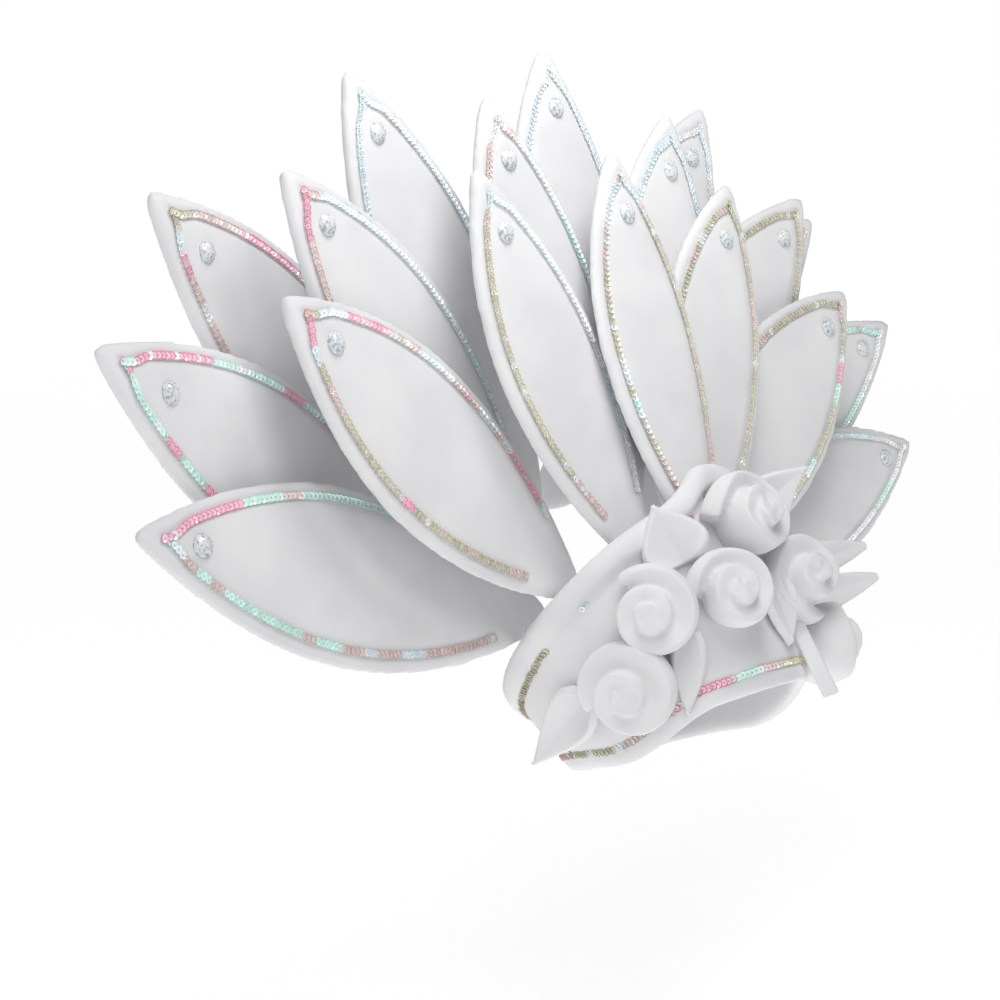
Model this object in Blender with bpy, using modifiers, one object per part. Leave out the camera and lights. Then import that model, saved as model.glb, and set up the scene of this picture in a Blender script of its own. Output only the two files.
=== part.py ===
"""Feather crown: a carnival headdress of soft white foam.

A foam band with a high front holds three staggered rows of leaf-shaped foam
feathers, called petals here. Sequin strings edge each petal and the band, a
clear stone sits below each tip, and rolled foam roses with leaves cover the
front of the band. The crown is modelled in its own frame, with the band's
lower edge at the front in the plane z = 0, and is then tilted back as it is worn.
Metres, +Z up, front towards -Y.
"""
import math

import bmesh
import bpy
import numpy as np
from mathutils import Vector
from mathutils.bvhtree import BVHTree

# Band
HEAD_HALF_WIDTH = 0.0760
HEAD_HALF_LENGTH = 0.0930
BAND_THICKNESS = 0.0130
BAND_EDGE_ROUNDING = 0.0050
BAND_PEAK_HEIGHT = 0.1780
BAND_SEGMENTS = 48

# Pose of the whole crown on the head, and of the petals on the crown
WORN_TILT = math.radians(28.5)
FAN_LEAN = math.radians(28.5)

# Petals
FAN_HALF_SPAN = 0.4500
FAN_TOP = 0.5320
PETAL_LENGTH = 0.3600
PETAL_WIDTH = 0.1340
PETAL_THICKNESS = 0.0130
PETAL_EDGE_ROUNDING = 0.0035
PETAL_TIP_WIDTH = 0.0085
PETAL_BASE_SHARE = 0.14
PETAL_WIDEST_SHARE = 0.53
PETAL_STATIONS = 9
PETAL_UPRIGHT_LEAN = 0.34
FRONT_ROW_TIP_DEPTH = 0.0810
MIDDLE_ROW_TIP_DEPTH = 0.1120
BACK_ROW_TIP_DEPTH = 0.1540

# Trims and stones
STRING_RADIUS = 0.0016
TRIM_INSET = 0.0135
TRIM_BASE_SHARE = 0.16
UPPER_TRIM_DROP = 0.0250
LOWER_TRIM_RISE = 0.0150
GEM_RADIUS = 0.0080
GEM_HEIGHT = 0.0045
GEM_SIDES = 8
GEM_BELOW_TIP = 0.0500

# Roses, leaves and hanging strip
ROSE_STRIP_THICKNESS = 0.0100
ROSE_RADIUS = 0.0375
ROSE_HEIGHT = 0.0580
ROSE_TURNS = 2.0
ROSE_STATIONS = 24
ROSE_FOOT_SHARE = 0.55
ROSE_MOUTH_DROP = 0.30
LEAF_WIDTH = 0.0480
LEAF_THICKNESS = 0.0060
LEAF_LIFT = 0.0850
LEAF_DISH = 0.0040
LEAF_STATIONS = 6
STRIP_WIDTH = 0.0110
STRIP_THICKNESS = 0.0040
STRIP_STAND = 0.0130

# Air left between pieces that touch, and how far before its first seat a petal's exact one is looked for
GAP = 0.0003
SEAT_SEARCH = 0.0040

# Angle from the front in degrees, rim height and foot height as shares of the peak, flare in degrees
BAND_SECTIONS = (
    (0.0, 1.000, 0.000, 0.0),
    (10.0, 0.985, 0.000, 1.5),
    (20.0, 0.915, 0.000, 3.0),
    (30.0, 0.865, 0.000, 4.5),
    (45.0, 0.820, 0.000, 6.8),
    (60.0, 0.770, -0.035, 9.2),
    (75.0, 0.705, -0.070, 11.6),
    (90.0, 0.640, -0.080, 14.0),
    (110.0, 0.560, -0.040, 15.8),
    (135.0, 0.485, 0.000, 18.0),
    (180.0, 0.420, 0.000, 18.0),
)

# Name, row, side, tip out and up as shares of the fan, splay in degrees, length and width shares
PETALS = (
    ("front_3", "front", 1, 0.000, 0.837, 0.0, 0.86, 0.86),
    ("front_2", "front", -1, 0.331, 0.799, 20.5, 0.88, 0.90),
    ("front_4", "front", 1, 0.331, 0.799, 20.5, 0.88, 0.90),
    ("front_1", "front", -1, 0.727, 0.630, 48.5, 0.94, 1.00),
    ("front_5", "front", 1, 0.727, 0.630, 48.5, 0.94, 1.00),
    ("front_0", "front", -1, 0.993, 0.355, 75.0, 1.11, 0.96),
    ("front_6", "front", 1, 0.993, 0.355, 75.0, 1.11, 0.96),
    ("middle_2", "middle", -1, 0.238, 0.906, 13.0, 0.94, 0.96),
    ("middle_3", "middle", 1, 0.238, 0.906, 13.0, 0.94, 0.96),
    ("middle_1", "middle", -1, 0.667, 0.788, 41.0, 1.00, 1.00),
    ("middle_4", "middle", 1, 0.667, 0.788, 41.0, 1.00, 1.00),
    ("middle_0", "middle", -1, 1.002, 0.570, 60.5, 1.10, 1.00),
    ("middle_5", "middle", 1, 1.002, 0.570, 60.5, 1.10, 1.00),
    ("back_2", "back", 1, 0.000, 0.997, 0.0, 1.00, 1.00),
    ("back_1", "back", -1, 0.460, 0.931, 27.0, 1.05, 1.04),
    ("back_3", "back", 1, 0.460, 0.931, 27.0, 1.05, 1.04),
    ("back_0", "back", -1, 0.842, 0.756, 50.5, 1.12, 1.04),
    ("back_4", "back", 1, 0.842, 0.756, 50.5, 1.12, 1.04),
)
TIP_DEPTHS = {
    "front": FRONT_ROW_TIP_DEPTH,
    "middle": MIDDLE_ROW_TIP_DEPTH,
    "back": BACK_ROW_TIP_DEPTH,
}

# Angle from the front in degrees, height on the band as a share of the peak, radius and height as
# shares of the largest rose's, turn of the strip's end in degrees
ROSES = (
    (-68.0, 0.190, 1.00, 0.66, 175.0),
    (-50.5, 0.475, 0.84, 0.64, 110.0),
    (-21.5, 0.410, 0.90, 0.66, 165.0),
    (-1.0, 0.690, 0.94, 0.78, 165.0),
    (33.0, 0.450, 1.00, 0.96, 100.0),
    (47.0, 0.170, 0.86, 0.84, -60.0),
)

# Root angle, root height share, tip angle, tip height share, then shares of the leaf width and the lift
LEAVES = (
    (-87.0, 0.250, -113.0, 0.130, 0.83, 0.40),
    (-35.0, 0.640, -39.5, 0.880, 0.96, 0.10),
    (-41.0, 0.330, -53.0, 0.020, 0.48, 0.02),
    (22.0, 0.720, 32.0, 0.890, 0.75, 0.50),
    (13.0, 0.460, 7.0, 0.150, 0.50, 0.03),
    (64.0, 0.500, 59.0, 0.600, 0.62, 1.00),
    (64.0, 0.330, 57.0, 0.440, 0.62, 1.00),
)

# Angle, height share and distance from the wall as a share of the strip's, from its top to its end
STRIP_ROUTE = (
    (22.0, 0.330, 0.00),
    (20.0, 0.200, 0.25),
    (17.0, 0.060, 0.60),
    (14.0, -0.100, 1.00),
)


def remove_all(items):
    for item in list(items):
        bpy.data.objects.remove(item, do_unlink=True)


def foam_material(name, colour, roughness, metallic=0.0):
    material = bpy.data.materials.new(name)
    material.use_nodes = True
    shader = material.node_tree.nodes["Principled BSDF"]
    shader.inputs["Base Color"].default_value = (*colour, 1.0)
    shader.inputs["Roughness"].default_value = roughness
    shader.inputs["Metallic"].default_value = metallic
    return material


def section_value(angle, column):
    """Smooth value of a column of BAND_SECTIONS at an angle from the front."""
    angle = abs((angle + 180.0) % 360.0 - 180.0)
    knots = [row[0] for row in BAND_SECTIONS]
    values = [row[column] for row in BAND_SECTIONS]
    slopes = np.gradient(values, knots)
    slopes[0] = 0.0
    slopes[-1] = 0.0
    place = min(int(np.searchsorted(knots, angle, side="right")) - 1, len(knots) - 2)
    span = knots[place + 1] - knots[place]
    t = (angle - knots[place]) / span
    start = (2 * t**3 - 3 * t**2 + 1) * values[place] + (t**3 - 2 * t**2 + t) * span * slopes[place]
    end = (3 * t**2 - 2 * t**3) * values[place + 1] + (t**3 - t**2) * span * slopes[place + 1]
    return start + end


def rim_height(angle):
    return BAND_PEAK_HEIGHT * section_value(angle, 1)


def foot_height(angle):
    return BAND_PEAK_HEIGHT * section_value(angle, 2)


def band_frame(angle, height, out=0.0):
    """Point of the band at a distance out from the middle of its wall, and the wall's outward normal."""
    turn = math.radians(angle)
    flare = math.tan(math.radians(section_value(angle, 3)))
    half_width = HEAD_HALF_WIDTH + BAND_THICKNESS / 2
    half_length = HEAD_HALF_LENGTH + BAND_THICKNESS / 2
    spread = height * flare
    point = Vector(((half_width + spread) * math.sin(turn), -(half_length + spread) * math.cos(turn), height))
    level = Vector((math.sin(turn) / half_width, -math.cos(turn) / half_length, 0.0)).normalized()
    normal = Vector((level.x, level.y, -flare)).normalized()
    return point + normal * out, normal


def outer_wall(angle, share, out):
    """Point at a distance out from the band's outer face, at a share of the peak's height."""
    return band_frame(angle, share * BAND_PEAK_HEIGHT, BAND_THICKNESS / 2 + out)


def new_object(name, mesh, material, parent, collection):
    item = bpy.data.objects.new(name, mesh)
    item.parent = parent
    mesh.materials.append(material)
    collection.objects.link(item)
    return item


def shaped_grid(name, columns, rows, place):
    """Open sheet: a primitive grid whose points are moved to place(u, v), with u in 0..1 and v in -1..1."""
    mesh = bpy.data.meshes.new(name)
    shape = bmesh.new()
    bmesh.ops.create_grid(shape, x_segments=columns, y_segments=rows, size=1.0)
    for vertex in shape.verts:
        vertex.co = place((vertex.co.x + 1.0) / 2.0, vertex.co.y)
    shape.to_mesh(mesh)
    shape.free()
    return mesh


def turn_faces(mesh, direction):
    """Turn an open sheet so that its faces point along a direction."""
    total = Vector((0.0, 0.0, 0.0))
    for face in mesh.polygons:
        total += face.normal * face.area
    if total.dot(direction) < 0.0:
        mesh.flip_normals()


def give_wall(item, thickness, offset):
    wall = item.modifiers.new("wall", "SOLIDIFY")
    wall.thickness = thickness
    wall.offset = offset
    wall.use_even_offset = True


def round_edges(item, width, segments):
    rounding = item.modifiers.new("rounding", "BEVEL")
    rounding.width = width
    rounding.segments = segments
    rounding.limit_method = "ANGLE"
    rounding.angle_limit = math.radians(50.0)


def tube(name, points, closed, material, parent, collection):
    curve = bpy.data.curves.new(name, "CURVE")
    curve.dimensions = "3D"
    curve.bevel_depth = STRING_RADIUS
    curve.bevel_resolution = 1
    curve.use_fill_caps = not closed
    spline = curve.splines.new("POLY")
    spline.points.add(len(points) - 1)
    for place, point in zip(spline.points, points):
        place.co = (*point, 1.0)
    spline.use_cyclic_u = closed
    return new_object(name, curve, material, parent, collection)


def solid_tree(items):
    """One search tree over the evaluated solids of the objects, in world space."""
    bpy.context.view_layer.update()
    graph = bpy.context.evaluated_depsgraph_get()
    points = []
    faces = []
    for item in items:
        evaluated = item.evaluated_get(graph)
        mesh = evaluated.to_mesh()
        mesh.calc_loop_triangles()
        first = len(points)
        points.extend(item.matrix_world @ vertex.co for vertex in mesh.vertices)
        faces.extend([first + corner for corner in face.vertices] for face in mesh.loop_triangles)
        evaluated.to_mesh_clear()
    return BVHTree.FromPolygons(points, faces)


def settle(make, tree):
    """Make pieces further and further out until their solids clear the tree's, with the gap left between."""
    out = 0.0
    pieces = make(out)
    while solid_tree(pieces).overlap(tree):
        remove_all(pieces)
        out += GAP / 2
        pieces = make(out)
    remove_all(pieces)
    return make(out + GAP)


def make_band(material, parent, collection):
    mesh = bpy.data.meshes.new("band")
    shape = bmesh.new()
    bmesh.ops.create_cone(shape, cap_ends=False, segments=BAND_SEGMENTS, radius1=1.0, radius2=1.0, depth=1.0)
    for vertex in shape.verts:
        angle = math.degrees(math.atan2(vertex.co.x, -vertex.co.y))
        height = rim_height(angle) if vertex.co.z > 0.0 else foot_height(angle)
        vertex.co = band_frame(angle, height)[0]
    shape.to_mesh(mesh)
    shape.free()
    band = new_object("band", mesh, material, parent, collection)
    give_wall(band, BAND_THICKNESS, 0.0)
    round_edges(band, BAND_EDGE_ROUNDING, 2)
    return band


def make_band_trim(name, height, tree, material, parent, collection):
    """String round the band's outer face, at the height that a function gives for each angle."""
    angles = [360.0 * step / BAND_SEGMENTS for step in range(BAND_SEGMENTS)]

    def make(out):
        middle = BAND_THICKNESS / 2 + STRING_RADIUS + out
        points = [band_frame(angle, height(angle), middle)[0] for angle in angles]
        return [tube(name, points, True, material, parent, collection)]

    return settle(make, tree)


class Petal:
    """Front face of one petal. x and z run across the fan, and y is its depth behind the front."""

    def __init__(self, name, row, side, tip_out, tip_up, splay, length_share, width_share):
        self.name = name
        self.row = row
        self.side = side
        self.splay = math.radians(splay)
        self.length = PETAL_LENGTH * length_share
        self.width = PETAL_WIDTH * width_share
        self.tip = Vector((tip_out * FAN_HALF_SPAN, 0.0, tip_up * FAN_TOP))
        self.along = Vector((math.sin(self.splay), 0.0, math.cos(self.splay)))
        self.across = Vector((-math.cos(self.splay), 0.0, math.sin(self.splay)))
        self.tip_depth = TIP_DEPTHS[row]
        self.base_depth = 0.0

    def half_width(self, u):
        if u > PETAL_WIDEST_SHARE:
            share = (u - PETAL_WIDEST_SHARE) / (1.0 - PETAL_WIDEST_SHARE)
            narrow = PETAL_TIP_WIDTH / self.width
        else:
            share = 1.0 - u / PETAL_WIDEST_SHARE
            narrow = PETAL_BASE_SHARE
        return self.width / 2 * (1.0 - (1.0 - narrow) * share**2)

    def point(self, u, v):
        """Point of the front face: u runs from the base to the tip, v from edge to edge."""
        flat = self.tip - self.along * self.length * (1.0 - u) + self.across * self.half_width(u) * v
        ease = u * (1.35 - 0.35 * u)
        depth = self.base_depth + (self.tip_depth - self.base_depth) * ease
        lean = PETAL_UPRIGHT_LEAN * self.half_width(u) * v * self.across.z
        return Vector((flat.x * self.side, depth + lean, flat.z))

    def normal(self, u, v):
        """Unit normal of the front face, towards the front."""
        step = 0.002
        low = max(u - step, 0.0)
        high = min(u + step, 1.0)
        along = self.point(high, v) - self.point(low, v)
        across = self.point(u, v + step) - self.point(u, v - step)
        normal = along.cross(across).normalized()
        return -normal if normal.y > 0.0 else normal

    def above(self, u, v, out):
        return self.point(u, v) + self.normal(u, v) * out

    def trim_edge(self, u):
        """Place of the trim across the petal at u, as a share of the half width."""
        return 1.0 - TRIM_INSET / self.half_width(u)

    def trim_stations(self):
        stations = [step / PETAL_STATIONS for step in range(PETAL_STATIONS + 1)]
        return [u for u in stations if u >= TRIM_BASE_SHARE and self.half_width(u) > 1.6 * TRIM_INSET]

    def facet_point(self, u, v):
        """Point of the front face on the flat facets that the solid has between its stations."""
        place = u * PETAL_STATIONS
        station = min(int(place), PETAL_STATIONS - 1)
        start = self.point(station / PETAL_STATIONS, v)
        return start.lerp(self.point((station + 1) / PETAL_STATIONS, v), place - station)

    def outer_points(self):
        """Points on the faces of the petal's wall and in the middle of it."""
        points = []
        for u in np.linspace(0.0, 1.0, 51):
            for v in np.linspace(-1.0, 1.0, 17):
                face = self.facet_point(u, v)
                normal = self.normal(u, v)
                points += [face, face - normal * PETAL_THICKNESS / 2, face - normal * PETAL_THICKNESS]
        return points


def least_clearance(points, tree):
    """Smallest signed distance from the points to the solids: below zero is inside one."""
    least = 1.0
    for point in points:
        nearest, normal, _, distance = tree.find_nearest(point)
        side = 1.0 if (point - nearest).dot(normal) >= 0.0 else -1.0
        least = min(least, side * distance)
    return least


def seat_depth(petal, tree, to_world):
    """Depth at which the petal's base just clears what stands before it, by points on the petal."""
    near = -HEAD_HALF_LENGTH
    far = FAN_HALF_SPAN
    for _ in range(13):
        petal.base_depth = (near + far) / 2
        if least_clearance([to_world @ point for point in petal.outer_points()], tree) > 0.0:
            far = petal.base_depth
        else:
            near = petal.base_depth
    return far


def make_petal(petal, base_depth, material, parent, collection):
    petal.base_depth = base_depth
    name = "petal_" + petal.name
    mesh = shaped_grid(name, PETAL_STATIONS, 2, petal.point)
    turn_faces(mesh, Vector((0.0, -1.0, 0.0)))
    item = new_object(name, mesh, material, parent, collection)
    give_wall(item, PETAL_THICKNESS, -1.0)
    round_edges(item, PETAL_EDGE_ROUNDING, 1)
    return item


def make_petal_trim(petal, material, parent, collection):
    """String up one side of the petal, round its tip and down the other side."""
    out = STRING_RADIUS + GAP
    stations = petal.trim_stations()
    one_side = [petal.above(u, petal.trim_edge(u), out) for u in stations]
    other_side = [petal.above(u, -petal.trim_edge(u), out) for u in stations]
    turn = petal.above(1.0 - 1.55 * TRIM_INSET / petal.length, 0.0, out)
    points = one_side + [turn] + other_side[::-1]
    return tube("trim_" + petal.name, points, False, material, parent, collection)


def make_gem(petal, material, parent, collection):
    """Clear stone with eight sloping facets and a flat table."""
    name = "gem_" + petal.name
    mesh = bpy.data.meshes.new(name)
    shape = bmesh.new()
    bmesh.ops.create_cone(
        shape, cap_ends=True, segments=GEM_SIDES, radius1=GEM_RADIUS, radius2=GEM_RADIUS * 0.55, depth=GEM_HEIGHT
    )
    shape.to_mesh(mesh)
    shape.free()
    gem = new_object(name, mesh, material, parent, collection)
    u = 1.0 - GEM_BELOW_TIP / petal.length
    normal = petal.normal(u, 0.0)
    gem.location = petal.above(u, 0.0, GEM_HEIGHT / 2 + GAP)
    gem.rotation_euler = normal.to_track_quat("Z", "Y").to_euler()
    return gem


def wall_axes(angle, share):
    """Origin on the band's outer face, with the level tangent, the upward tangent and the normal."""
    origin, normal = outer_wall(angle, share, 0.0)
    level = Vector((0.0, 0.0, 1.0)).cross(normal).normalized()
    return origin, level, normal.cross(level), normal


def make_rose(number, row, tree, material, parent, collection):
    """Rolled strip: a spiral wall, narrow at the foot, whose foot follows what it stands on."""
    angle, share, radius_share, height_share, end_turn = row
    origin, level, upward, normal = wall_axes(angle, share)
    first = ROSE_STRIP_THICKNESS * 0.8
    last = ROSE_RADIUS * radius_share - ROSE_STRIP_THICKNESS / 2
    tall = ROSE_HEIGHT * height_share
    to_world = parent.matrix_world
    down = (to_world.to_3x3() @ -normal).normalized()
    half_step = math.pi * ROSE_TURNS / ROSE_STATIONS

    def ground(reach, turn):
        ray = level * math.cos(turn) * reach + upward * math.sin(turn) * reach
        distance = tree.ray_cast(to_world @ (origin + ray + normal * tall), down)[3]
        return -last if distance is None else tall - distance

    def place(u, v, out):
        turn = math.radians(end_turn) - 2.0 * math.pi * ROSE_TURNS * (1.0 - u)
        mouth = first + (last - first) * u
        foot = first + (mouth - first) * ROSE_FOOT_SHARE
        side = level * math.cos(turn) + upward * math.sin(turn)
        top = tall * (1.0 - ROSE_MOUTH_DROP * u**2)
        if v > 0.0:
            return origin + side * mouth + normal * top
        around = [turn - half_step, turn, turn + half_step]
        reaches = [foot - ROSE_STRIP_THICKNESS / 2, foot, foot + ROSE_STRIP_THICKNESS / 2]
        height = max(ground(reach, near) for reach in reaches for near in around)
        lean = math.atan2(mouth - foot, top - height)
        dip = ROSE_STRIP_THICKNESS / 2 * math.sin(lean)
        return origin + side * foot + normal * (height + dip + out)

    def make(out):
        name = f"rose_{number}"
        mesh = shaped_grid(name, ROSE_STATIONS, 1, lambda u, v: place(u, v, out))
        rose = new_object(name, mesh, material, parent, collection)
        give_wall(rose, ROSE_STRIP_THICKNESS, 0.0)
        return [rose]

    return settle(make, tree)


def make_leaf(number, row, tree, material, parent, collection):
    """Pointed leaf that starts against the band and lifts away from it towards its tip."""
    root_angle, root_share, tip_angle, tip_share, width_share, lift_share = row
    root = outer_wall(root_angle, root_share, 0.0)[0]
    tip = outer_wall(tip_angle, tip_share, 0.0)[0]
    normal = outer_wall((root_angle + tip_angle) / 2, (root_share + tip_share) / 2, 0.0)[1]
    across = normal.cross(tip - root).normalized()
    metres_per_degree = (band_frame(root_angle + 1.0, 0.0)[0] - band_frame(root_angle, 0.0)[0]).length

    def place(u, v, seat):
        width = LEAF_WIDTH / 2 * width_share * math.sin(math.pi * (0.12 + 0.82 * u)) * v
        level = across.dot(wall_axes(root_angle, root_share)[1]) * width
        angle = root_angle + (tip_angle - root_angle) * u + level / metres_per_degree
        share = root_share + (tip_share - root_share) * u + across.z * width / BAND_PEAK_HEIGHT
        out = LEAF_THICKNESS / 2 + seat + LEAF_LIFT * lift_share * u**2 + LEAF_DISH * v**2
        return outer_wall(angle, share, out)[0]

    def make(seat):
        name = f"leaf_{number}"
        mesh = shaped_grid(name, LEAF_STATIONS, 2, lambda u, v: place(u, v, seat))
        turn_faces(mesh, normal)
        leaf = new_object(name, mesh, material, parent, collection)
        give_wall(leaf, LEAF_THICKNESS, 0.0)
        return [leaf]

    return settle(make, tree)


def make_hanging_strip(tree, material, parent, collection):
    """Flat strip that starts below a rose and hangs past the band's lower edge."""
    last = len(STRIP_ROUTE) - 1

    def place(u, v, seat):
        angle, share, stand = STRIP_ROUTE[round(u * last)]
        point, normal = outer_wall(angle, share, STRIP_STAND * stand + STRIP_THICKNESS / 2 + seat)
        level = Vector((0.0, 0.0, 1.0)).cross(normal).normalized()
        return point + level * v * STRIP_WIDTH / 2

    def make(seat):
        mesh = shaped_grid("hanging_strip", last, 1, lambda u, v: place(u, v, seat))
        turn_faces(mesh, outer_wall(STRIP_ROUTE[0][0], STRIP_ROUTE[0][1], 0.0)[1])
        strip = new_object("hanging_strip", mesh, material, parent, collection)
        give_wall(strip, STRIP_THICKNESS, 0.0)
        return [strip]

    return settle(make, tree)


def make_petals(foam, sequin, stone, band, parent, collection):
    """Petals from the front of the stack to its back, each seated behind those before it."""
    placed = [band]
    for row in PETALS:
        petal = Petal(*row)
        tree = solid_tree(placed)
        depth = seat_depth(petal, tree, parent.matrix_world) - SEAT_SEARCH

        def make(out):
            item = make_petal(petal, depth + out, foam, parent, collection)
            return [item, make_petal_trim(petal, sequin, parent, collection)]

        placed.append(settle(make, tree)[0])
        if petal.row == "front":
            make_gem(petal, stone, parent, collection)


def main():
    remove_all(bpy.data.objects)
    collection = bpy.data.collections.new("feather_crown")
    bpy.context.scene.collection.children.link(collection)
    worn = bpy.data.objects.new("worn_tilt", None)
    worn.rotation_euler = (-WORN_TILT, 0.0, 0.0)
    collection.objects.link(worn)
    fan = bpy.data.objects.new("fan_axis", None)
    fan.rotation_euler = (FAN_LEAN, 0.0, 0.0)
    fan.parent = worn
    collection.objects.link(fan)
    bpy.context.view_layer.update()

    foam = foam_material("white_foam", (0.86, 0.86, 0.86), 0.9)
    sequin = foam_material("sequin_string", (0.80, 0.72, 0.66), 0.25, 0.3)
    stone = foam_material("clear_stone", (0.90, 0.93, 0.95), 0.05)

    band = make_band(foam, worn, collection)
    band_tree = solid_tree([band])
    upper = make_band_trim(
        "band_trim_upper", lambda angle: rim_height(angle) - UPPER_TRIM_DROP, band_tree, sequin, worn, collection
    )
    lower = make_band_trim(
        "band_trim_lower", lambda angle: foot_height(angle) + LOWER_TRIM_RISE, band_tree, sequin, worn, collection
    )
    make_petals(foam, sequin, stone, band, fan, collection)
    placed = [band] + upper + lower
    for number, row in enumerate(ROSES):
        placed.extend(make_rose(number, row, solid_tree(placed), foam, worn, collection))
    for number, row in enumerate(LEAVES):
        placed.extend(make_leaf(number, row, solid_tree(placed), foam, worn, collection))
    make_hanging_strip(solid_tree(placed), foam, worn, collection)


main()
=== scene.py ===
# %% [markdown]
# # A carnival crown of white foam
#
# The crown is a foam band with a high front. Three rows of large leaf-shaped feathers, cut from thick
# foam and called petals here, stand behind it, and rolled foam roses with leaves sit on its front.
# Strings of sequins run round each petal and the band, and a clear stone sits below each petal's tip.
#
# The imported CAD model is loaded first. It fixes the place and size of every piece, so each piece below is
# made around its CAD node and then stands for it.

# %% Load the frame
import math
import random

import bpy
import numpy as np
from mathutils import Matrix, Vector
from mathutils.bvhtree import BVHTree
from mathutils.kdtree import KDTree


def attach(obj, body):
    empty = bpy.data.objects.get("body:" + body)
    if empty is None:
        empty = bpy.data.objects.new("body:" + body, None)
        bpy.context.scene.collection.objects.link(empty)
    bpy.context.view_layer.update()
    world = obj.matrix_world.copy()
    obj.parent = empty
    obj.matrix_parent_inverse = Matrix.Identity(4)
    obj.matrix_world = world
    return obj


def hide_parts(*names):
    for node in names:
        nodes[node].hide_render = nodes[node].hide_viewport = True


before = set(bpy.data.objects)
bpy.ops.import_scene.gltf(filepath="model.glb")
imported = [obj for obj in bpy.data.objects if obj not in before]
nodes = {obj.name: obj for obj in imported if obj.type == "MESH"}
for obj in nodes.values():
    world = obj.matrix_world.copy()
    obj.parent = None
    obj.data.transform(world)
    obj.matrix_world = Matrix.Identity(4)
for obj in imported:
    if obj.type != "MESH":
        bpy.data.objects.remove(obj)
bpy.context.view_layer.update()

# %% [markdown]
# ## Small helpers
#
# Blender's operators act on whatever is selected. These helpers select exactly one object, apply its
# modifiers in order, and hand a finished piece to the frame. Colours are written as sRGB hex values, the
# way a colour picker shows them, and one function turns them into the linear values that shaders use.


# %% Selecting and applying
def choose(piece):
    bpy.ops.object.select_all(action="DESELECT")
    piece.select_set(True)
    bpy.context.view_layer.objects.active = piece


def apply_modifiers(piece):
    choose(piece)
    for name in [modifier.name for modifier in piece.modifiers]:
        bpy.ops.object.modifier_apply(modifier=name)


def add_modifier(piece, name, kind, **settings):
    modifier = piece.modifiers.new(name, kind)
    for key, value in settings.items():
        setattr(modifier, key, value)
    return modifier


def hand_over(piece, slot, material, *replaced):
    piece.data.materials.clear()
    piece.data.materials.append(material)
    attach(piece, "root")
    if replaced:
        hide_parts(*replaced)
    return piece


def linear(hex_colour):
    """Linear RGBA of an sRGB hex colour."""
    parts = [int(hex_colour[place : place + 2], 16) / 255 for place in (1, 3, 5)]
    return [part / 12.92 if part <= 0.04045 else ((part + 0.055) / 1.055) ** 2.4 for part in parts] + [1.0]


def add_node(tree, kind, settings=None, links=()):
    """Add a shader node, set its inputs and properties, and link (output socket, input name) pairs."""
    node = tree.nodes.new(kind)
    for key, value in (settings or {}).items():
        if key in node.inputs:
            node.inputs[key].default_value = value
        else:
            setattr(node, key, value)
    for output, name in links:
        tree.links.new(output, node.inputs[name])
    return node


def new_material(name):
    material = bpy.data.materials.new(name)
    material.use_nodes = True
    return material, material.node_tree, material.node_tree.nodes["Principled BSDF"]


# %% [markdown]
# ## Soft foam
#
# The whole crown is cut from polyether foam sheet, the kind that cushions are made of. It is a mesh of
# tiny open cells, so it has no gloss at all, it scatters light inside itself, and its skin shows a very
# fine, even grain. The cells are under half a millimetre, too fine to show here, so the grain is drawn
# about 1.5 mm wide. A broad, faint unevenness keeps large faces from looking like card.

# %% Foam material
GRAIN = 0.0015
UNEVENNESS = 0.060

foam, tree, shader = new_material("polyether_foam")
place = add_node(tree, "ShaderNodeTexCoord")
grain = add_node(
    tree, "ShaderNodeTexNoise", {"Scale": 1 / GRAIN, "Detail": 3.0}, [(place.outputs["Object"], "Vector")]
)
broad = add_node(
    tree, "ShaderNodeTexNoise", {"Scale": 1 / UNEVENNESS, "Detail": 2.0}, [(place.outputs["Object"], "Vector")]
)
tint = add_node(tree, "ShaderNodeValToRGB", links=[(broad.outputs["Fac"], "Fac")])
tint.color_ramp.elements[0].position = 0.35
tint.color_ramp.elements[0].color = linear("#E3E3E5")
tint.color_ramp.elements[1].position = 0.65
tint.color_ramp.elements[1].color = linear("#EBEBEC")
tree.links.new(tint.outputs["Color"], shader.inputs["Base Color"])
bump = add_node(
    tree, "ShaderNodeBump", {"Strength": 0.12, "Distance": 0.0006}, [(grain.outputs["Fac"], "Height")]
)
tree.links.new(bump.outputs["Normal"], shader.inputs["Normal"])
shader.inputs["Roughness"].default_value = 0.95
shader.inputs["Specular IOR Level"].default_value = 0.15
shader.inputs["Sheen Weight"].default_value = 0.15
shader.inputs["Sheen Roughness"].default_value = 0.6

# %% [markdown]
# ## Sequins and stones
#
# A sequin is punched from clear plastic film with an iridescent coating. The coating shows pink, mint or
# pale blue in one direction and a dull gold in another, so along a string the colours come in runs. Each
# sequin stores its colour in a colour attribute, which the material reads, and the bright ones carry a painted
# highlight there.
#
# The stones are moulded acrylic, clear, cut with facets and backed with foil. Each facet shows another part
# of the room, some bright and some dull, so each carries a painted reflection: its own tone in a colour attribute.

# %% Sequin and stone materials
SEQUIN_COLOUR_AND_SHINE = "sequin_colour"
FACET_REFLECTION = "facet_tone"

sequin_film, tree, shader = new_material("iridescent_sequin_film")
paint = add_node(tree, "ShaderNodeAttribute", {"attribute_name": SEQUIN_COLOUR_AND_SHINE})
tree.links.new(paint.outputs["Color"], shader.inputs["Base Color"])
shader.inputs["Metallic"].default_value = 0.25
shader.inputs["Roughness"].default_value = 0.22
shader.inputs["Coat Weight"].default_value = 0.6
shader.inputs["Coat Roughness"].default_value = 0.08

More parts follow.
